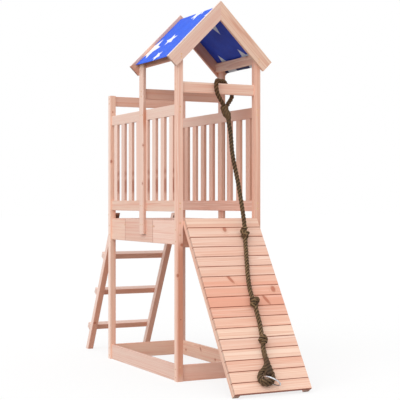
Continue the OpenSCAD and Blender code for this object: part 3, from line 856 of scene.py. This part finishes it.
def paintTimber(node, along, across, middle, seed, cells):
    mat, wire, shader = newMaterial("timber_" + node)
    dice = random.Random(seed)
    place, normal = (wire.add("TexCoord", out=name) for name in ("Object", "Normal"))
    local = wire.add("VectorMath", {"operation": "SUBTRACT"}, {0: place, 1: middle})
    onBoard, a, b = (local.dot(axis) for axis in (along, across, along.cross(across)))
    index, a, seams = findBoards(place, onBoard, a, across, cells)
    lot, redness, light = drawLots(wire, node, index, seed)
    g = onBoard + lot[2] * timber["grainShift"]
    core, rim, halo = growKnots(wire, node, index, g, onBoard, a, b)
    late = growRings(wire, dice, lot, g, a, b, halo)
    streak, vein, fibre = (grain(wire, g, a, b, name) for name in ("streakNoise", "veinNoise", "fibreNoise"))
    # colour: pale wood, warm streaks, late-wood lines, then knots, seams and stains
    heat = streak.step(0.35, 0.7) * timber["streakHeat"] + vein.step(0.42, 0.66) * timber["veinHeat"]
    heat = heat + redness - timber["coolStart"]
    colour = (lot[2] * timber["sandyShare"]).mix(timber["pale"], timber["sandy"])
    colour = heat.step(0.0, 1.4).mix(colour, timber["warm"])
    colour = tintAndShadeBoard(node, colour, place, onBoard, a, streak, redness)
    lines = late * timber["lateShare"] + fibre.step(0.45, 0.8) * timber["fibreShare"]
    colour = lines.mix(colour, timber["late"])
    colour = (halo * timber["haloShare"]).mix(colour, timber["late"])
    colour = (rim * timber["rimShare"]).mix(colour, timber["knotRim"])
    heartOfKnot = (fibre * 0.6 + late * 0.4).mix(timber["knotRim"], timber["knot"])
    colour = (core * timber["coreShare"]).mix(colour, heartOfKnot)
    endGrain = turned(normal, along, either=True) * timber["endDark"]
    level = (0.91 + light * 0.14) * (1.0 - endGrain) * (0.97 + fibre * 0.06)
    colour = wire.add("HueSaturation", {}, {"Value": level, "Color": colour})
    colour = (seams * timber["seamShare"]).mix(colour, timber["seam"])
    colour = shadeAndMarkFaces(node, colour, place, normal, across, streak)
    relief = fibre * 0.6 + late * 0.4 - rim * 0.5 - seams
    feed(wire, shader, Base_Color=colour, Roughness=0.52 + fibre * 0.2 - late * 0.06,
         Normal=bump(wire, relief, *timber["bump"]))
    return mat


rampSlope, ladderSlope, roofSlope = (math.radians(d) for d in (56.2, 62.2, 45.0))
rampUp = Vector((0, math.cos(rampSlope), math.sin(rampSlope)))
ladderUp = Vector((0, -math.cos(ladderSlope), math.sin(ladderSlope)))
leftRafterUp = Vector((math.cos(roofSlope), 0, math.sin(roofSlope)))
rightRafterUp = Vector((-math.cos(roofSlope), 0, math.sin(roofSlope)))

grainOf = [  # boards by their grain, and by the direction across their broad faces
    (axisZ, axisX, ["front_left_post", "front_right_post", "rear_left_post", "rear_right_post"]),
    (axisX, axisZ, ["front_base_board", "rear_base_board", "front_apron", "rear_apron", "front_beam",
                    "middle_beam", "rear_beam", "floor_bearers", "lower_rung", "middle_rung", "upper_rung"]),
    (axisY, axisZ, ["left_base_board", "right_base_board", "left_skirt", "right_skirt", "left_bottom_rail",
                    "right_bottom_rail", "left_top_rail", "right_top_rail", "left_purlin", "right_purlin",
                    "ridge_purlin"]),
    (axisY, axisX, ["floor_boards"]),
    (axisZ, axisY, ["left_slats", "right_slats", "left_roof_board", "right_roof_board"]),
    (leftRafterUp, rightRafterUp, ["front_left_rafter", "rear_left_rafter"]),
    (rightRafterUp, leftRafterUp, ["front_right_rafter", "rear_right_rafter"]),
    (ladderUp, axisX, ["left_ladder_rail", "right_ladder_rail"]),
    (rampUp, axisX, ["left_stringer", "right_stringer"]),
    (axisX, rampUp, ["ramp_planks"]),
]


def boardCells(name):  # where one node holds several boards
    low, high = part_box(name)
    if name == "ramp_planks":
        start = timber["rampFoot"] * rampUp.y - timber["plankGap"]
        return {"axis": rampUp, "start": start, "pitch": timber["plankPitch"], "seams": True}
    if name == "floor_boards":
        pitch = (high.x - low.x) / timber["floorBoards"]
        return {"axis": axisX, "start": low.x, "pitch": pitch, "seams": True}
    if name.endswith("slats"):
        pitch = (high.y - low.y - timber["slatWidth"]) / timber["slatSpaces"]
        start = low.y + timber["slatWidth"] / 2 - pitch / 2
        return {"axis": axisY, "start": start, "pitch": pitch, "seams": False}
    if name.endswith("skirt"):
        return {"axis": axisY, "cuts": [low.y + joint for joint in timber["skirtJoints"]]}
    if name == "floor_bearers":
        return {"axis": axisY, "cuts": [(low.y + high.y) / 2]}
    return {}


def dress(name, material):
    nodes[name].data.materials.clear()
    nodes[name].data.materials.append(material)


def dressTimber():
    seed = timber["firstSeed"]
    for along, across, names in grainOf:
        for name in names:
            low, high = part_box(name)
            dress(name, paintTimber(name, along, across, (low + high) / 2, seed, boardCells(name)))
            seed += 1


dressTimber()
print("timber painted")

# Roof sheet: one woven sheet over the ridge, with printed stars
sheet = {
    "leftWidth": 0.4158,         # down each slope
    "rightWidth": 0.4384,
    "length": 0.5102,
    "ridge": 2.1148,             # the rafters' upper edges meet here
    "drop": 0.018,               # below the rafters' edges, square to the slope
    "front": -0.4642,
    "sag": 0.007,
    "sagShort": 1.15,            # a slope's length, over the part of it that sags
    "ripple": 0.0022,
    "rippleRise": 4.0,           # how fast the ripples grow from the ridge
    "thick": 0.0012,
    "columns": 84,
    "rows": 52,
    "blue": tone(48, 106, 238),
    "deep": tone(36, 88, 222),
    "white": tone(246, 247, 252),
    # the underside: the same cloth in deeper blues, painted shade
    "shadedLining": tone(36, 80, 210),
    "shadedLiningDeep": tone(26, 62, 184),
    "liningStar": tone(222, 241, 255),
    # painted shade along the eaves on the sheet's underside
    "eaveShade": tone(16, 18, 44),
    "eaveShadeWidth": 0.028,       # inside the eaves edges
    "eaveShadeShare": 0.85,
    "eaveShadeSoft": 0.001,
    "stars": [  # across from the ridge, along from the front, radius, turn
        (-0.284, 0.478, 0.095, 9.0), (-0.210, 0.328, 0.055, 52.0), (-0.374, 0.262, 0.044, 30.0),
        (-0.012, 0.262, 0.056, 20.0), (-0.046, 0.042, 0.064, 40.0), (-0.222, 0.046, 0.060, 55.0),
        (0.065, 0.232, 0.100, 12.0), (0.397, 0.421, 0.100, 42.0), (0.382, 0.159, 0.095, 42.0),
        (0.225, 0.010, 0.046, 50.0),
    ],
    "innerShare": 0.50,          # a star's inner points, as a share of its outer ones
    "starSoft": 0.03,
    "threads": 700.0,            # in a metre
    "cloudScale": 14.0,
    "rubScale": 160.0,
    "bump": (0.35, 0.0004),      # strength and height
    "rippleScale": (9.0, 5.0),   # waves in a metre across and along
    "rippleSeed": 2.7,
}


def printStars(s, y):  # 1 on the stars, which have five points
    printed = s * 0.0
    inner, half = sheet["innerShare"], math.pi / 5
    outX, outY = inner * math.sin(half), 1.0 - inner * math.cos(half)
    norm = math.hypot(outX, outY)
    soft = sheet["starSoft"]
    for starS, starY, radius, turn in sheet["stars"]:
        dx, dy = (s - starS) / radius, (y - starY) / radius
        away = (dx * dx + dy * dy).each("SQRT")
        angle = (dy.math("ARCTAN2", dy, dx) + (half + math.radians(turn))) % (2 * half) - half
        point = angle.each("ABSOLUTE")
        edge = (away * point.each("COSINE") - 1.0) * (outX / norm) + away * point.each("SINE") * (outY / norm)
        printed = printed.most(1.0 - edge.step(-soft, soft))
    return printed


def paintSheet(name, ground, deep, star, eaveShaded=False):  # the flag: painted shade, a dark band along the eaves on the underside
    mat, wire, shader = newMaterial(name, Specular_IOR_Level=0.25)
    s, y = wire.add("TexCoord", out="UV").split(2)
    turns = sheet["threads"] * math.tau
    weave = (s * turns).each("SINE") * (y * turns).each("SINE")
    cloud = wire.vector(s * sheet["cloudScale"], y * sheet["cloudScale"]).noise(3.0)
    rubbed = wire.vector(s * sheet["rubScale"], y * sheet["rubScale"]).noise(2.0)
    blue = (cloud.step(0.3, 0.7) * 0.6 + rubbed * 0.3).mix(deep, ground)
    # painted shade: a dark band inside the eaves edges, under the printed stars
    if eaveShaded:
        right, left = (sheet[width] - sheet["eaveShadeWidth"] for width in ("rightWidth", "leftWidth"))
        band = s.step(right, right + sheet["eaveShadeSoft"]).most((-s).step(left, left + sheet["eaveShadeSoft"]))
        blue = (band * sheet["eaveShadeShare"]).mix(blue, sheet["eaveShade"])
    colour = (printStars(s, y) * (0.9 + rubbed * 0.1)).mix(blue, star)
    feed(wire, shader, Base_Color=colour, Roughness=0.5 + rubbed * 0.2,
         Normal=bump(wire, weave * 0.5 + 0.5, *sheet["bump"]))
    return mat


def onRoof(s, y):  # where a place on the flat sheet lies on the roof
    length = sheet["length"]
    across = abs(s) / sheet["leftWidth" if s < 0 else "rightWidth"]
    slack = math.sin(math.pi * min(1.0, across * sheet["sagShort"])) ** 2
    sag = sheet["sag"] * slack * math.sin(math.pi * y / length)
    wavesS, wavesY = sheet["rippleScale"]
    ripple = sheet["ripple"] * noise.noise((s * wavesS, y * wavesY, sheet["rippleSeed"]))
    down = sheet["drop"] + sag + ripple * min(1.0, across * sheet["rippleRise"])
    top = sheet["ridge"] - down / math.cos(roofSlope)
    return Vector((s * math.cos(roofSlope), sheet["front"] + y, top - abs(s) * math.sin(roofSlope)))


def makeSheet():
    bm = bmesh.new()
    uv = bm.loops.layers.uv.new("UVMap")
    bmesh.ops.create_grid(bm, x_segments=sheet["columns"], y_segments=sheet["rows"], size=1.0)
    for vert in bm.verts:
        width = sheet["leftWidth" if vert.co.x < 0 else "rightWidth"]
        vert.co = (vert.co.x * width, (vert.co.y + 1.0) / 2 * sheet["length"], 0.0)
    for face in bm.faces:
        face.smooth = True
        for loop in face.loops:
            loop[uv].uv = loop.vert.co.xy
    for vert in bm.verts:
        vert.co = onRoof(vert.co.x, vert.co.y)
    upper = paintSheet("star_sheet", sheet["blue"], sheet["deep"], sheet["white"])
    shadedLining = paintSheet("star_lining_shaded", sheet["shadedLining"], sheet["shadedLiningDeep"], sheet["liningStar"], True)
    piece = linkMesh("star_sheet", bm, upper)
    piece.data.materials.append(shadedLining)
    wall = piece.modifiers.new("thickness", "SOLIDIFY")
    wall.thickness = sheet["thick"]
    wall.offset = 0.0
    wall.material_offset = 1
    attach(piece, "tower")
    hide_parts("roof_sheet")
    sheet["leftWidth"] + sheet["rightWidth"]


makeSheet()
print("sheet stretched")

# Metal: pale plated screws, and the welded steel ring
metal = {
    "screws": {"light": tone(246, 206, 168), "dark": tone(214, 166, 128), "rough": 0.38, "scale": 300.0},
    "ring": {"light": tone(226, 228, 232), "dark": tone(168, 170, 176), "rough": 0.22, "scale": 120.0},
    "gritFiner": 9.0,            # times the clouds' scale
    "bump": (0.15, 0.0002),
}


def paintMetal(name, finish):
    mat, wire, shader = newMaterial(name, Metallic=1.0)
    place = wire.add("TexCoord", out="Object")
    cloud = place.scaled(finish["scale"]).noise(3.0)
    grit = place.scaled(finish["scale"] * metal["gritFiner"]).noise(2.0)
    colour = cloud.step(0.3, 0.75).mix(finish["dark"], finish["light"])
    feed(wire, shader, Base_Color=colour, Roughness=grit * 0.2 + finish["rough"],
         Normal=bump(wire, grit, *metal["bump"]))
    return mat


def dressMetal():
    screwFinish = paintMetal("plated_screws", metal["screws"])
    for name in nodes:
        if name.endswith("_screws"):
            dress(name, screwFinish)
    dress("end_ring", paintMetal("ring_steel", metal["ring"]))


dressMetal()
print("metal painted")
